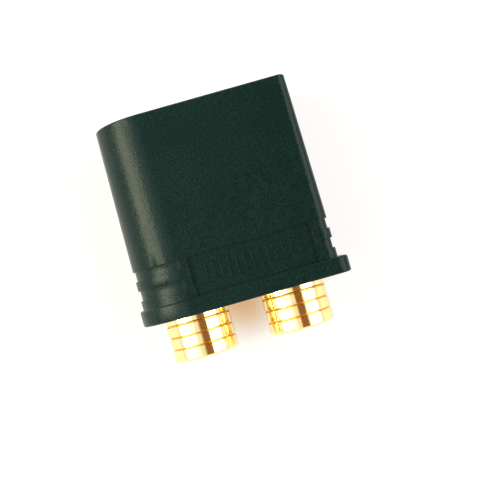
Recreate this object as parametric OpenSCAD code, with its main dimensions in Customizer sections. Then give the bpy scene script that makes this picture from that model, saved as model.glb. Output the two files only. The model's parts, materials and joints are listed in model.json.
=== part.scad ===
// Two-pole battery lead connector: a nylon housing with a mating sheath, and two turned contacts.
// The connector lies on one wide face. X runs from the round end to the flat end, Y points out of
// the mating sheath, and the solder cups stand out of the flange towards -Y.

/* [Sheath] */
// Width of the mating sheath, from its round end to its flat end
sheath_w = 16; // [15:0.1:22]
// Thickness of the mating sheath between its wide faces
sheath_t = 8.1; // [7.6:0.1:9]
// Length of the smooth sheath in front of the grip
sheath_len = 11.72; // [9:0.02:18]
// Draft of the sheath: how far each side draws in by the rim
sheath_draft = 0.15; // [0.02:0.01:0.3]
// Wall of the sheath around the socket cavity
sheath_wall = 1; // [0.7:0.05:1.2]
// Corner radius of the sheath's flat end
flat_corner_r = 0.8; // [0.4:0.05:1.4]
// Depth of the socket cavity from the mating rim
cavity_depth = 11; // [8:0.1:12]
// Corner radius of the cavity at the flat end
cavity_corner_r = 0.4; // [0.2:0.05:1]
// Chamfer round the mating rim and the flange
edge = 0.1; // [0.03:0.01:0.15]

/* [Grip] */
// Width of one grip groove, and of the land beside it
band_w = 0.79; // [0.5:0.01:1.2]
// Grooves across each narrow end
groove_count = 2; // [1:1:3]
// Depth of a grip groove
groove_depth = 0.16; // [0.05:0.01:0.4]
// How far the grooves reach onto the wide faces from the flat end
groove_reach = 1.2; // [0.9:0.1:1.4]

/* [Label panel] */
// Gap from the centre of the round end to the panel
panel_gap_round = 0.72; // [0.5:0.02:2]
// Gap from the flat end to the panel
panel_gap_flat = 1.6; // [1.5:0.05:3]
// Depth of the panel below the wide face
panel_depth = 0.14; // [0.08:0.01:0.4]
// Radius of the panel's corners
panel_corner_r = 0.2; // [0.05:0.05:0.6]
// Width of the bead beside the panel
bead_w = 0.2; // [0.1:0.01:0.3]
// Height of the bead above the wide face
bead_h = 0.06; // [0.04:0.01:0.3]
// Gap between the bead and the panel
bead_gap = 0.1; // [0.05:0.01:0.15]
// Width of one raised rib in the panel
rib_w = 0.2; // [0.1:0.01:0.3]
// Spacing of the ribs
rib_pitch = 0.62; // [0.5:0.01:1.5]
// Length of a rib
rib_len = 1.7; // [1:0.05:2]
// Height of a rib above the panel floor
rib_h = 0.05; // [0.03:0.01:0.1]
// Bare stretch between the panel's ends and its first rib
rib_margin = 0.8; // [0.5:0.05:2]

/* [Flange] */
// Thickness of the flange along the connector
flange_t = 1.3; // [1:0.02:2.5]
// Lip of the flange past the round end
lip_round = 0.3; // [0.2:0.05:1]
// Lip of the flange past the flat end
lip_flat = 0.7; // [0.3:0.05:1.2]
// Lip of the flange past each wide face
lip_face = 0.4; // [0.3:0.05:1]
// Corner radius of the flange's flat end
flange_corner_r = 0.9; // [0.5:0.05:1.6]

/* [Polarity marks] */
// Height and width of a moulded polarity mark
mark_size = 0.86; // [0.5:0.02:1]
// Width of the mark's bars
mark_bar_w = 0.2; // [0.1:0.01:0.3]
// Height of the marks above the flange
mark_h = 0.08; // [0.04:0.01:0.2]
// Distance from the sheath's flat end to the plus mark's centre
plus_inset = 3.3; // [1.5:0.1:5]
// Distance from the sheath's round end to the minus mark's centre
minus_inset = 4.05; // [3:0.1:5]

/* [Solder cups] */
// Distance between the two contacts
contact_pitch = 8; // [7.6:0.05:8.2]
// Outer diameter of a solder cup
cup_d = 5.3; // [5.2:0.05:6]
// Length of the cup behind the flange
cup_len = 3.48; // [3.2:0.02:6]
// Chamfer on the cup's mouth
cup_chamfer = 0.15; // [0.05:0.01:0.3]
// Diameter of the bore that takes the wire
cup_bore_d = 4; // [3:0.1:4.2]
// Depth of that bore, up to its drill point
cup_bore_depth = 3.8; // [2:0.1:4.4]
// Turned grooves round the cup
ring_count = 3; // [1:1:3]
// Distance from the flange to the first groove
ring_first = 0.5; // [0.3:0.05:0.8]
// Spacing of the grooves
ring_pitch = 0.96; // [0.6:0.02:1.1]
// Width of a groove at the surface
ring_w = 0.2; // [0.1:0.02:0.4]
// Depth of a groove
ring_depth = 0.12; // [0.05:0.01:0.3]

/* [Contact shanks] */
// Depth of the counterbore that seats the cup in the flange
seat_depth = 0.9; // [0.4:0.05:1.3]
// Diameter of the shank in the web
shank_d = 4.4; // [4:0.05:4.8]
// Diameter over the shank's barbs
barb_d = 4.9; // [4.85:0.05:5.1]
// Length of one barb
barb_len = 0.7; // [0.4:0.05:1]
// Spacing of the barbs
barb_pitch = 1.15; // [1.05:0.05:1.5]
// Plain shank behind the first barb and in front of the last
barb_margin = 0.4; // [0.2:0.05:0.8]

/* [Contact pins] */
// Diameter of a contact pin
pin_d = 3.5; // [2.5:0.05:3.8]
// Length of a pin above the cavity floor
pin_len = 9.2; // [5:0.1:9.5]
// Radius of the pin's nose
nose_r = 0.6; // [0.2:0.05:1]
// Width of the cross slots that split the pin
slot_w = 0.45; // [0.3:0.01:0.55]
// Depth of the cross slots from the nose
slot_len = 5.5; // [2:0.1:6]

/* [Hidden] */
$fn = 96;
past = 1;              // how far a cut runs past the surface it opens
drill_point = 59;      // half angle of the drill's tip
nose_step = 15;        // turn between points on the nose's arc

grip_len = 2 * groove_count * band_w;
body_len = sheath_len + grip_len + flange_t;
web_t = body_len - cavity_depth;

flange_w = lip_round + sheath_w + lip_flat;
x_round = lip_round - flange_w / 2;
x_flat = x_round + sheath_w;
x_round_centre = x_round + sheath_t / 2;

y_mouth = -(body_len + cup_len) / 2;
y_rear = y_mouth + cup_len;
y_grip = y_rear + flange_t;
y_step = y_grip + grip_len;
y_rim = y_step + sheath_len;
y_floor = y_rear + web_t;

z_mid = sheath_t / 2 + lip_face;

x_negative = x_round_centre;
x_positive = x_negative + contact_pitch;

panel_x0 = x_round_centre + panel_gap_round;
panel_x1 = x_flat - panel_gap_flat;
panel_mid = (panel_x0 + panel_x1) / 2;
rib_count = floor((panel_x1 - panel_x0 - 2 * rib_margin) / rib_pitch) + 1;
barb_count = floor((web_t - seat_depth - 2 * barb_margin - barb_len) / barb_pitch) + 1;

cup_r = cup_d / 2;
shank_r = shank_d / 2;
barb_r = barb_d / 2;
pin_r = pin_d / 2;
cup_bore_r = cup_bore_d / 2;

// Outlines as [round end, flat end, half thickness, corner radius], seen along Y
sheath = [x_round, x_flat, sheath_t / 2, flat_corner_r];
flange = [x_round - lip_round, x_flat + lip_flat, sheath_t / 2 + lip_face, flange_corner_r];
socket = [x_round + sheath_wall, x_flat - sheath_wall, sheath_t / 2 - sheath_wall, cavity_corner_r];

module cone_along_y(x, z, y0, len, r0, r1) {
    translate([x, y0, z_mid + z])
        rotate([-90, 0, 0])
            cylinder(r1 = r0, r2 = r1, h = len);
}

// Bar from y0 towards +Y with a half circle at one end and two rounded corners at the other.
// Its outline is drawn in by inset0 at y0 and by inset1 at the far end, about the same centres.
module d_bar(outline, y0, len, inset0 = 0, inset1 = 0) {
    half_t = outline[2];
    corner_r = outline[3];
    x_centre = outline[0] + half_t;
    x_corner = outline[1] - corner_r;
    z_corner = half_t - corner_r;
    cone_along_y(x_centre, 0, y0, len, half_t - inset0, half_t - inset1);
    for (side = [-1, 1])
        cone_along_y(x_corner, side * z_corner, y0, len, corner_r - inset0, corner_r - inset1);
    translate([x_centre, y0, z_mid])
        rotate([90, 0, 90])
            linear_extrude(height = x_corner - x_centre)
                polygon([[0, inset0 - half_t], [len, inset1 - half_t],
                         [len, half_t - inset1], [0, half_t - inset0]]);
    translate([0, y0, z_mid - z_corner])
        linear_extrude(height = 2 * z_corner)
            polygon([[x_centre, 0], [outline[1] - inset0, 0],
                     [outline[1] - inset1, len], [x_centre, len]]);
}

// Flange, chamfered on both faces
module flange_plate() {
    d_bar(flange, y_rear, edge, edge, 0);
    d_bar(flange, y_rear + edge, flange_t - 2 * edge);
    d_bar(flange, y_grip - edge, edge, 0, edge);
}

// Grip zone, and the drafted sheath with its chamfered rim
module sheath_bar() {
    d_bar(sheath, y_rear, flange_t + grip_len);
    d_bar(sheath, y_step, sheath_len - edge, 0, sheath_draft);
    d_bar(sheath, y_rim - edge, edge, sheath_draft, sheath_draft + edge);
}

module cavity() {
    d_bar(socket, y_floor, cavity_depth + past);
    d_bar(socket, y_rim - edge, edge + past, 0, -edge - past);
}

// Shallow grooves across both narrow ends, with a land under each
module grip_grooves() {
    for (i = [0 : groove_count - 1])
        difference() {
            d_bar(sheath, y_step - (2 * i + 1) * band_w, band_w, -past, -past);
            d_bar(sheath, y_grip, grip_len, groove_depth, groove_depth);
            translate([x_round_centre, y_rear, -past])
                cube([x_flat - groove_reach - x_round_centre, body_len, 2 * z_mid + 2 * past]);
        }
}

// Area of the label panel, seen from above, from the step down to the flange
module panel_area() {
    translate([panel_x0, y_grip])
        square([panel_x1 - panel_x0, grip_len - panel_corner_r]);
    translate([panel_x0 + panel_corner_r, y_grip])
        square([panel_x1 - panel_x0 - 2 * panel_corner_r, grip_len]);
    for (x = [panel_x0 + panel_corner_r, panel_x1 - panel_corner_r])
        translate([x, y_step - panel_corner_r])
            circle(r = panel_corner_r);
}

// Works on the upper wide face, and mirrors it to the lower one
module on_both_faces() {
    for (side = [0, 1])
        translate([0, 0, z_mid])
            mirror([0, 0, side])
                translate([0, 0, sheath_t / 2])
                    children();
}

module panel_cut() {
    translate([0, 0, -panel_depth])
        linear_extrude(height = panel_depth + past)
            panel_area();
}

// Plain upright ribs in the panel, rooted just under its floor
module panel_ribs() {
    root = panel_depth / 2;
    for (i = [0 : rib_count - 1])
        translate([panel_mid + (i - (rib_count - 1) / 2) * rib_pitch - rib_w / 2,
                   y_grip + (grip_len - rib_len) / 2, -panel_depth - root])
            cube([rib_w, rib_len, rib_h + root]);
}

// Low beads along the panel's two sides, stopping one band short of the flange
module panel_beads() {
    root = bead_h;
    for (x = [panel_x0 - bead_gap - bead_w, panel_x1 + bead_gap])
        translate([x, y_grip + band_w, -root])
            cube([bead_w, grip_len - band_w, bead_h + root]);
}

module bar_mark(x, wide, high) {
    root = mark_h;
    translate([x - wide / 2, y_rear + (flange_t - high) / 2, z_mid + sheath_t / 2 + lip_face - root])
        cube([wide, high, mark_h + root]);
}

module polarity_marks() {
    bar_mark(x_flat - plus_inset, mark_size, mark_bar_w);
    bar_mark(x_flat - plus_inset, mark_bar_w, mark_size);
    bar_mark(x_round + minus_inset, mark_size, mark_bar_w);
}

// Turns a profile of radius and height round a contact's axis, with height 0 at the flange's rear
module turned(x) {
    translate([x, y_rear, z_mid])
        rotate([-90, 0, 0])
            rotate_extrude()
                children();
}

// Shank profile from the cup's shoulder to the cavity floor
function barb_points(h) = [[shank_r, h], [barb_r, h], [shank_r, h + barb_len]];
shank_points = concat(
    [[cup_r, seat_depth], [shank_r, seat_depth]],
    [for (i = [0 : barb_count - 1], p = barb_points(seat_depth + barb_margin + i * barb_pitch)) p]);

function ring_points(h) = [[cup_r, h - ring_w / 2], [cup_r - ring_depth, h], [cup_r, h + ring_w / 2]];
cup_points = concat(
    [[0, -cup_len], [cup_r - cup_chamfer, -cup_len], [cup_r, cup_chamfer - cup_len]],
    [for (i = [ring_count - 1 : -1 : 0], p = ring_points(-ring_first - i * ring_pitch)) p]);

pin_end = web_t + pin_len;
pin_points = concat(
    [[shank_r, web_t], [pin_r, web_t]],
    [for (a = [0 : nose_step : 90])
        [pin_r - nose_r * (1 - cos(a)), pin_end - nose_r * (1 - sin(a))]],
    [[0, pin_end]]);

module contact_seat(x) {
    turned(x)
        polygon(concat([[0, -past], [cup_r, -past]], shank_points,
                       [[shank_r, web_t + past], [0, web_t + past]]));
}

module wire_bore(x) {
    translate([x, y_mouth, z_mid])
        rotate([-90, 0, 0]) {
            translate([0, 0, -past])
                cylinder(r = cup_bore_r, h = cup_bore_depth + past);
            translate([0, 0, cup_bore_depth])
                cylinder(r1 = cup_bore_r, r2 = 0, h = cup_bore_r / tan(drill_point));
        }
}

module cross_slots(x) {
    for (turn = [45, 135])
        translate([x, y_rear + pin_end - slot_len, z_mid])
            rotate([0, turn, 0])
                translate([-pin_d, 0, -slot_w / 2])
                    cube([2 * pin_d, slot_len + past, slot_w]);
}

module contact(x) {
    difference() {
        turned(x)
            polygon(concat(cup_points, shank_points, pin_points));
        wire_bore(x);
        cross_slots(x);
    }
}

module housing() {
    color([0.11, 0.18, 0.16]) {
        difference() {
            union() {
                flange_plate();
                sheath_bar();
            }
            cavity();
            grip_grooves();
            on_both_faces()
                panel_cut();
            contact_seat(x_positive);
            contact_seat(x_negative);
        }
        on_both_faces() {
            panel_ribs();
            panel_beads();
        }
        polarity_marks();
    }
}

module contact_positive() {
    color([0.95, 0.75, 0.28])
        contact(x_positive);
}

module contact_negative() {
    color([0.95, 0.75, 0.28])
        contact(x_negative);
}

housing();
contact_positive();
contact_negative();
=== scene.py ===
import json
import math

import bmesh
import bpy
from mathutils import Matrix, Vector


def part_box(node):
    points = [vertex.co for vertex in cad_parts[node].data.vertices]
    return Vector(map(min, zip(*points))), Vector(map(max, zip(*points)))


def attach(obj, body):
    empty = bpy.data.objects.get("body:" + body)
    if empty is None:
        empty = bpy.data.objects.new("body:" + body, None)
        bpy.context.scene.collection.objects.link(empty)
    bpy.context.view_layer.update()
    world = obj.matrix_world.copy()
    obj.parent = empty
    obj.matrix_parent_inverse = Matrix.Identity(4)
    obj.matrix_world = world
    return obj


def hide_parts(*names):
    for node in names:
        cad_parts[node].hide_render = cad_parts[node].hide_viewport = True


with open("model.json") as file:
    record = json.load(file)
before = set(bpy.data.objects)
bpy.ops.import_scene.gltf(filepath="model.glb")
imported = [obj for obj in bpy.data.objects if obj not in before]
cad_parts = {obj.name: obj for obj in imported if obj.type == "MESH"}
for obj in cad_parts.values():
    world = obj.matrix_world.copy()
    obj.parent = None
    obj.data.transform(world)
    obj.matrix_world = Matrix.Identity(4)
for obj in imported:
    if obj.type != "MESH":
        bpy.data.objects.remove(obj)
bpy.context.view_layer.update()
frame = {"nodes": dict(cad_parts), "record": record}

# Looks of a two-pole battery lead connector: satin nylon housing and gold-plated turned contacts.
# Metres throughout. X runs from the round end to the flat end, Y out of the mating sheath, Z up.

MM = 0.001
MOUNTS = {m["name"]: m for m in frame["record"]["mounts"]}
HOUSING_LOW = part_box("housing")[0]
AXIS_Z = MOUNTS["pin_positive"]["pos_m"][2]
CUPS_MIDDLE = (MOUNTS["cup_positive"]["pos_m"][0] + MOUNTS["cup_negative"]["pos_m"][0]) / 2

# Round edges of the housing's moulding
MOULD_EDGE = 0.06 * MM

# Solder cup: turned grooves behind the flange, and the chamfer on the mouth
RINGS = 3
RING_FIRST = 0.5 * MM
RING_PITCH = 0.96 * MM
RING_HALF_WIDTH = 0.1 * MM
RING_DEPTH = 0.12 * MM
CUP_CHAMFER = 0.15 * MM
DRILL_HALF_ANGLE = math.radians(59)

# Shank in the web: the cup's seat, then the barbs
SEAT_DEPTH = 0.9 * MM
SHANK_R = 2.2 * MM
BARBS = 3
BARB_R = 2.45 * MM
BARB_FIRST = 1.3 * MM
BARB_PITCH = 1.15 * MM
BARB_LEN = 0.7 * MM

# Pin: its nose and the two slots that split it
NOSE_R = 0.6 * MM
SLOT_WIDTH = 0.45 * MM
SLOT_DEPTH = 5.5 * MM
STEPS_ROUND = 145


# ---------------------------------------------------------------- nodes as expressions

class Value:
    """A node socket that can stand in a sum."""

    def __init__(self, graph, socket):
        self.graph = graph
        self.socket = socket

    def _maths(self, operation, *values):
        inputs = dict(enumerate(values))
        return self.graph.node("ShaderNodeMath", inputs, operation=operation)

    def __add__(self, other):
        return self._maths("ADD", self, other)

    __radd__ = __add__

    def __sub__(self, other):
        return self._maths("SUBTRACT", self, other)

    def __rsub__(self, other):
        return self._maths("SUBTRACT", other, self)

    def __mul__(self, other):
        return self._maths("MULTIPLY", self, other)

    __rmul__ = __mul__

    def __truediv__(self, other):
        return self._maths("DIVIDE", self, other)

    def __gt__(self, other):
        return self._maths("GREATER_THAN", self, other)

    def __lt__(self, other):
        return self._maths("LESS_THAN", self, other)

    def root(self):
        return self._maths("SQRT", self)

    def sine(self):
        return self._maths("SINE", self)

    def cosine(self):
        return self._maths("COSINE", self)


class Graph:
    """A node tree, and the one way in which nodes are added to it."""

    def __init__(self, tree):
        self.tree = tree

    def node(self, kind, inputs=None, out=0, **settings):
        """A new node: its settings first, then the values or links of its sockets."""
        made = self.tree.nodes.new(kind)
        for name, value in settings.items():
            setattr(made, name, value)
        for key, value in (inputs or {}).items():
            self.put(made.inputs[key], value)
        return Value(self, made.outputs[out])

    def put(self, socket, value):
        """Links an expression to a socket, or sets a plain value on it."""
        if isinstance(value, Value):
            self.tree.links.new(value.socket, socket)
        else:
            socket.default_value = value

    def ramp(self, value, low, high, to_low=0.0, to_high=1.0):
        """A smooth step from to_low at low to to_high at high."""
        return self.node("ShaderNodeMapRange", {0: value, 1: low, 2: high, 3: to_low, 4: to_high},
                         interpolation_type="SMOOTHSTEP")

    def blend(self, factor, first, second):
        """A colour between two."""
        return self.node("ShaderNodeMix", {0: factor, 6: first, 7: second}, out=2, data_type="RGBA")


def grey(level):
    return (level, level, level, 1.0)


def surface(name, **constants):
    """A new material with a Principled shader. Constants are set on the shader's own sockets."""
    material = bpy.data.materials.new(name)
    material.use_nodes = True
    graph = Graph(material.node_tree)
    graph.tree.nodes.clear()
    shader = graph.tree.nodes.new("ShaderNodeBsdfPrincipled")
    output = graph.tree.nodes.new("ShaderNodeOutputMaterial")
    graph.tree.links.new(shader.outputs[0], output.inputs[0])
    for socket, value in constants.items():
        shader.inputs[socket.replace("_", " ")].default_value = value
    return material, graph, shader


# ---------------------------------------------------------------- materials

def nylon():
    """Very dark green-black nylon with the fine spark grain of its mould."""
    material, g, shader = surface("satin_nylon", Metallic=0.0, IOR=1.25)
    place = g.node("ShaderNodeTexCoord", out="Object")
    drift = g.node("ShaderNodeTexNoise", {"Vector": place, "Scale": 240.0, "Detail": 3.0})
    grain = g.node("ShaderNodeTexNoise", {"Vector": place, "Scale": 6200.0, "Detail": 1.0})
    pits = g.node("ShaderNodeTexNoise", {"Vector": place, "Scale": 15000.0, "Detail": 1.0})
    green_black = (0.0030, 0.0185, 0.0165, 1)
    worn_green = (0.0042, 0.0235, 0.0205, 1)
    in_the_grain = (0.0020, 0.0145, 0.0126, 1)
    tone = g.blend(g.ramp(drift, 0.35, 0.65), green_black, worn_green)
    g.put(shader.inputs["Base Color"], g.blend(g.ramp(grain, 0.35, 0.65), in_the_grain, tone))
    g.put(shader.inputs["Roughness"], 0.29 + (grain - 0.5) * 0.3 + (drift - 0.5) * 0.08)
    bump = g.node("ShaderNodeBump", {"Height": grain * 0.9 + pits * 0.1, "Distance": 0.02 * MM,
                                     "Strength": 1.0})
    g.put(shader.inputs["Normal"], bump)
    return material


def gold_plate(name, axis_x, cup_r, mouth_y):
    """Bright plating on turned brass. Fine tool lines run round the part, and the ring grooves carry
    painted shade: a darker, deeper orange gold.
    """
    material, g, shader = surface(name, Metallic=1.0)
    place = g.node("ShaderNodeTexCoord", out="Object")
    x, y, z = (g.node("ShaderNodeSeparateXYZ", {0: place}, out=i) for i in range(3))
    off_x = x - axis_x
    off_z = z - AXIS_Z
    depth = cup_r - (off_x * off_x + off_z * off_z).root()
    on_rings = (y < HOUSING_LOW.y) * (y > mouth_y + 0.2 * MM) * (depth < 0.2 * MM)
    # Painted shade: the ring grooves are coloured a darker, deeper orange gold, for the shade that falls
    # in them.
    groove_shade_mask = g.ramp(depth, 0.02 * MM, RING_DEPTH) * on_rings
    drift = g.node("ShaderNodeTexNoise", {"Vector": place, "Scale": 500.0, "Detail": 3.0})
    lines = g.node("ShaderNodeTexNoise", {"Scale": 1.0, "Detail": 3.0, "W": y * 22000.0},
                   noise_dimensions="1D")
    pale_gold = (1.0, 0.83, 0.40, 1)
    deep_gold = (1.0, 0.78, 0.33, 1)
    # Painted shade colour for the ring grooves.
    painted_groove_shade = (0.90, 0.46, 0.12, 1)
    clean = g.blend(g.ramp(drift, 0.35, 0.7), pale_gold, deep_gold)
    g.put(shader.inputs["Base Color"], g.blend(groove_shade_mask, clean, painted_groove_shade))
    g.put(shader.inputs["Roughness"], 0.10 + groove_shade_mask * 0.15 + (drift - 0.5) * 0.08)
    bump = g.node("ShaderNodeBump", {"Height": lines, "Distance": 0.002 * MM, "Strength": 0.5})
    g.put(shader.inputs["Normal"], bump)
    return material


def shown(g):
    """1 for the rays that carry the background to the eye: straight, in a mirror or through glass."""
    rays = ("Is Camera Ray", "Is Glossy Ray", "Is Transmission Ray")
    return sum(g.node("ShaderNodeLightPath", out=ray) for ray in rays)


def paper():
    """White studio floor, lit up so that only the closest shade is left on it. Between the solder
    cups a warm, darker patch is painted into its emission: painted light bounced from the gold, and
    painted shade in the gap."""
    material, g, shader = surface("studio_paper", Base_Color=grey(0.45), Roughness=0.9,
                                  Specular_IOR_Level=0.0)
    place = g.node("ShaderNodeTexCoord", out="Object")
    x, y = (g.node("ShaderNodeSeparateXYZ", {0: place}, out=i) for i in range(2))
    # Painted light and shade: a warm, darker patch between the cups, standing in for gold light bounced
    # onto the floor and the shade of the gap.
    bounce_x = (x - CUPS_MIDDLE) / (4.2 * MM)
    bounce_y = (y - HOUSING_LOW.y) / (4.5 * MM)
    painted_gold_bounce = g.ramp((bounce_x * bounce_x + bounce_y * bounce_y).root(), 1.0, 0.1)
    away = (x * x + y * y).root()
    g.put(shader.inputs["Emission Color"], g.blend(painted_gold_bounce, grey(1.0), (0.85, 0.52, 0.27, 1)))
    g.put(shader.inputs["Emission Strength"], shown(g) * g.ramp(away, 0.02, 0.30, 0.68, 1.0))
    return material


def brown_card():
    """Matt card that hides the camera from the gold, and so draws its dark stripe."""
    return surface("brown_card", Base_Color=(0.48, 0.23, 0.10, 1), Roughness=0.9,
                   Specular_IOR_Level=0.0)[0]


# ---------------------------------------------------------------- meshes

def new_object(name, mesh):
    """An object in the scene, at the origin."""
    made = bpy.data.objects.new(name, mesh)
    bpy.context.scene.collection.objects.link(made)
    return made


def baked(made):
    """Turns an object with modifiers into a plain mesh under the same name."""
    bpy.context.view_layer.update()
    seen = made.evaluated_get(bpy.context.evaluated_depsgraph_get())
    mesh = bpy.data.meshes.new_from_object(seen)
    mesh.name = made.name
    made.modifiers.clear()
    made.data = mesh
    return made


def finish_piece(made, material, node):
    """Gives a piece its material and puts it in the CAD node's place."""
    made.data.materials.clear()
    made.data.materials.append(material)
    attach(made, "root")
    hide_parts(node)
    return made


def housing_moulding():
    """The CAD housing with the small round edges of a moulding."""
    bm = bmesh.new()
    bm.from_mesh(frame["nodes"]["housing"].data)
    bmesh.ops.remove_doubles(bm, verts=bm.verts, dist=1e-6)
    bmesh.ops.dissolve_limit(bm, angle_limit=math.radians(0.4), verts=bm.verts, edges=bm.edges)
    mesh = bpy.data.meshes.new("housing_moulding")
    bm.to_mesh(mesh)
    bm.free()
    made = new_object("housing_moulding", mesh)
    bevel = made.modifiers.new("edges", "BEVEL")
    bevel.width = MOULD_EDGE
    bevel.segments = 2
    bevel.limit_method = "ANGLE"
    bevel.angle_limit = math.radians(30)
    bevel.use_clamp_overlap = True
    baked(made)
    made.data.shade_smooth()
    flat_faces = made.modifiers.new("flat_faces", "WEIGHTED_NORMAL")
    flat_faces.keep_sharp = True
    return baked(made)


def rounded(corners, steps=4):
    """A line through corners (radius, y, fillet), with each fillet as an arc."""
    line = []
    for i, (r, y, fillet) in enumerate(corners):
        here = Vector((r, y))
        if fillet == 0 or i in (0, len(corners) - 1):
            line.append(here)
            continue
        back = (Vector(corners[i - 1][:2]) - here).normalized()
        on = (Vector(corners[i + 1][:2]) - here).normalized()
        half = back.angle(on) / 2
        reach = fillet / math.tan(half)
        centre = here + (back + on).normalized() * fillet / math.sin(half)
        start = here + back * reach - centre
        turn = start.angle_signed(here + on * reach - centre)
        for k in range(steps + 1):
            line.append(centre + Matrix.Rotation(-turn * k / steps, 2) @ start)
    return line


def cup_corners(low_y, cup_r, bore_r, bore_end):
    """Half section of the solder cup, from the drill point out over the rings to the flange."""
    corners = [(0, bore_end + bore_r / math.tan(DRILL_HALF_ANGLE), 0),
               (bore_r, bore_end, 0),
               (bore_r, low_y, 0.08 * MM),
               (cup_r - CUP_CHAMFER, low_y, 0.03 * MM),
               (cup_r, low_y + CUP_CHAMFER, 0.05 * MM)]
    for i in reversed(range(RINGS)):
        middle = HOUSING_LOW.y - RING_FIRST - RING_PITCH * i
        corners += [(cup_r, middle - RING_HALF_WIDTH, 0.03 * MM),
                    (cup_r - RING_DEPTH, middle, 0.01 * MM),
                    (cup_r, middle + RING_HALF_WIDTH, 0.03 * MM)]
    return corners


def shank_corners(cup_r):
    """Half section of the shank, from the cup's shoulder over the barbs."""
    shoulder = HOUSING_LOW.y + SEAT_DEPTH
    corners = [(cup_r, shoulder, 0), (SHANK_R, shoulder, 0)]
    for i in range(BARBS):
        barb = HOUSING_LOW.y + BARB_FIRST + BARB_PITCH * i
        corners += [(SHANK_R, barb, 0), (BARB_R, barb, 0), (SHANK_R, barb + BARB_LEN, 0)]
    return corners


def pin_corners(root_y, pin_r, nose_y):
    """Half section of the pin, from the web to its nose."""
    return [(SHANK_R, root_y, 0), (pin_r, root_y, 0), (pin_r, nose_y, NOSE_R), (0, nose_y, 0)]


def turned_tree():
    """Geometry nodes that turn a half section round the contact's axis and split its pin."""
    tree = bpy.data.node_groups.new("turned_contact", "GeometryNodeTree")
    sockets = tree.interface
    sockets.new_socket("Geometry", in_out="OUTPUT", socket_type="NodeSocketGeometry")
    sockets.new_socket("Half section", in_out="INPUT", socket_type="NodeSocketGeometry")
    for name, kind in (("Steps round", "NodeSocketInt"), ("Section points", "NodeSocketInt"),
                       ("Axis", "NodeSocketVector"), ("Slot width", "NodeSocketFloat"),
                       ("Slot depth", "NodeSocketFloat"), ("Nose", "NodeSocketFloat"),
                       ("Material", "NodeSocketMaterial")):
        sockets.new_socket(name, in_out="INPUT", socket_type=kind)
    g = Graph(tree)
    given = tree.nodes.new("NodeGroupInput")
    ask = {s.name: Value(g, s) for s in given.outputs if s.name}

    grid = g.node("GeometryNodeMeshGrid", {"Vertices X": ask["Section points"],
                                           "Vertices Y": ask["Steps round"]})
    index = g.node("GeometryNodeInputIndex")
    steps = ask["Steps round"]
    row = g.node("ShaderNodeMath", {0: index / steps}, operation="FLOOR")
    angle = (index - row * steps) * (2 * math.pi) / (steps - 1)
    point = g.node("GeometryNodeSampleIndex",
                   {"Geometry": ask["Half section"], "Value": g.node("GeometryNodeInputPosition"),
                    "Index": row}, data_type="FLOAT_VECTOR")
    radius, along = (g.node("ShaderNodeSeparateXYZ", {0: point}, out=i) for i in range(2))
    around = g.node("ShaderNodeCombineXYZ", {0: radius * angle.sine(), 1: along,
                                             2: radius * angle.cosine()})
    placed = g.node("ShaderNodeVectorMath", {0: around, 1: ask["Axis"]}, operation="ADD")
    turned = g.node("GeometryNodeSetPosition", {"Geometry": grid, "Position": placed})
    closed = g.node("GeometryNodeMergeByDistance", {"Geometry": turned, "Distance": 2e-7})

    reach = g.node("ShaderNodeVectorMath",
                   {0: ask["Axis"], 1: g.node("ShaderNodeCombineXYZ", {1: ask["Nose"]})},
                   operation="ADD")
    size = g.node("ShaderNodeCombineXYZ", {0: 2 * BARB_R, 1: ask["Slot depth"] * 2.0,
                                           2: ask["Slot width"]})
    blade = g.node("GeometryNodeMeshCube", {"Size": size})
    solid = closed
    for turn in (45, 135):
        cutter = g.node("GeometryNodeTransform",
                        {"Geometry": blade, "Translation": reach,
                         "Rotation": (0, math.radians(turn), 0)})
        solid = g.node("GeometryNodeMeshBoolean", {0: solid, 1: cutter}, operation="DIFFERENCE",
                       solver="EXACT")
    bend = g.node("GeometryNodeInputMeshEdgeAngle")
    round_edges = g.node("GeometryNodeSetShadeSmooth",
                         {"Geometry": solid, "Shade Smooth": bend < math.radians(35)}, domain="EDGE")
    real = g.node("GeometryNodeRealizeInstances", {0: round_edges})
    named = g.node("GeometryNodeSetMaterial", {"Geometry": real, "Material": ask["Material"]})
    output = tree.nodes.new("NodeGroupOutput")
    tree.links.new(named.socket, output.inputs[0])
    return tree


def set_inputs(modifier, values):
    """Sets a geometry nodes modifier's inputs by the names of its sockets."""
    for item in modifier.node_group.interface.items_tree:
        if item.item_type == "SOCKET" and item.in_out == "INPUT" and item.name in values:
            modifier[item.identifier] = values[item.name]


def contact(pole, tree):
    """One turned contact, from its half section to the finished piece."""
    node = "contact_" + pole
    cup = MOUNTS["cup_" + pole]
    pin = MOUNTS["pin_" + pole]
    low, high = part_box(node)
    cup_r = (high.x - low.x) / 2
    axis_x, pin_middle, axis_z = pin["pos_m"]
    pin_root = pin_middle - pin["dims"]["length_mm"] * MM / 2
    bore_end = low.y + cup["dims"]["length_mm"] * MM
    corners = cup_corners(low.y, cup_r, cup["dims"]["r_mm"] * MM, bore_end)
    corners += shank_corners(cup_r)
    corners += pin_corners(pin_root, pin["dims"]["r_mm"] * MM, high.y)
    line = rounded(corners)
    mesh = bpy.data.meshes.new(node + "_turned")
    mesh.from_pydata([(p.x, p.y, 0) for p in line], [(i, i + 1) for i in range(len(line) - 1)], [])
    made = new_object(node + "_turned", mesh)
    material = gold_plate("gold_plate_" + pole, axis_x, cup_r, low.y)
    modifier = made.modifiers.new("turned", "NODES")
    modifier.node_group = tree
    set_inputs(modifier, {"Steps round": STEPS_ROUND, "Section points": len(line),
                          "Axis": (axis_x, 0, axis_z), "Slot width": SLOT_WIDTH,
                          "Slot depth": SLOT_DEPTH, "Nose": high.y, "Material": material})
    baked(made)
    bm = bmesh.new()
    bm.from_mesh(made.data)
    bmesh.ops.recalc_face_normals(bm, faces=bm.faces)
    bm.to_mesh(made.data)
    bm.free()
    return finish_piece(made, material, node)


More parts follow.
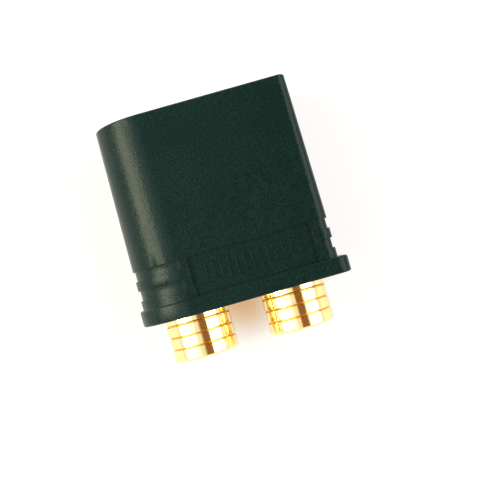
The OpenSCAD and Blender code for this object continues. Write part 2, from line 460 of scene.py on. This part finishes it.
# ---------------------------------------------------------------- studio

def flat_stage(name, across, along, height, material):
    """A level sheet of the studio: the floor, or the card that hides the camera from the gold."""
    corners = [(across[0], along[0]), (across[1], along[0]), (across[1], along[1]), (across[0], along[1])]
    mesh = bpy.data.meshes.new(name)
    mesh.from_pydata([(x, y, height) for x, y in corners], [], [(0, 1, 2, 3)])
    made = new_object(name, mesh)
    made.data.materials.append(material)


def soft_box(name, angle, wide, long, radiance, along=0.0, tint=(1, 1, 1)):
    """A soft box over the part. angle is in degrees from straight up, towards +X."""
    distance = 0.30
    lamp = bpy.data.lights.new(name, "AREA")
    lamp.shape = "RECTANGLE"
    lamp.size = wide
    lamp.size_y = long
    lamp.energy = radiance * math.pi * wide * long
    lamp.color = tint
    made = bpy.data.objects.new(name, lamp)
    bpy.context.scene.collection.objects.link(made)
    tilt = math.radians(angle)
    made.location = Vector((math.sin(tilt) * distance, along, math.cos(tilt) * distance + AXIS_Z))
    made.rotation_euler = (0, tilt, 0)


def room():
    """Dim warm room, which the eye sees as a white background, straight or mirrored."""
    world = bpy.data.worlds.new("studio_room")
    bpy.context.scene.world = world
    world.use_nodes = True
    g = Graph(world.node_tree)
    g.tree.nodes.clear()
    dim = g.node("ShaderNodeBackground", {"Color": (1.0, 0.74, 0.46, 1), "Strength": 0.26})
    white = g.node("ShaderNodeBackground", {"Color": grey(1.0), "Strength": 1.0})
    mixed = g.node("ShaderNodeMixShader", {0: shown(g), 1: dim, 2: white})
    output = g.tree.nodes.new("ShaderNodeOutputWorld")
    g.tree.links.new(mixed.socket, output.inputs[0])


def studio():
    room()
    soft_box("key_box_left", -56, 0.17, 0.16, 11.5, 0.05, (1.0, 0.98, 0.70))
    soft_box("fill_box_left", -29, 0.10, 0.34, 1.4)
    soft_box("fill_box_right", 50, 0.24, 0.34, 3.3)
    flat_stage("studio_floor", (-0.6, 0.6), (-0.6, 0.6), 0.0, paper())
    flat_stage("camera_flag", (-0.006, 0.10), (-0.2, 0.2), 0.2, brown_card())


def camera():
    """Eye above the part, turned so that the part's long axis leans to the left."""
    eye = Vector((-0.19, -3.70, 81.62)) * MM
    aim = Vector((0.87, -1.65, 4.45)) * MM
    roll = math.radians(-15.91)
    lens = bpy.data.cameras.new("camera")
    lens.sensor_width = 36.0
    lens.lens = 71.24
    lens.clip_start = 1 * MM
    made = bpy.data.objects.new("camera", lens)
    bpy.context.scene.collection.objects.link(made)
    back = (eye - aim).normalized()
    up = Vector((0, 1, 0)) - back * back.y
    right = up.cross(back).normalized()
    level = Matrix((right, back.cross(right), back)).transposed()
    turned = level @ Matrix.Rotation(roll, 3, "Z")
    made.matrix_world = Matrix.Translation(eye) @ turned.to_4x4()
    bpy.context.scene.camera = made


bpy.context.scene.view_settings.view_transform = "Standard"
camera()
studio()
finish_piece(housing_moulding(), nylon(), "housing")
turned_contact = turned_tree()
for pole in ("positive", "negative"):
    contact(pole, turned_contact)
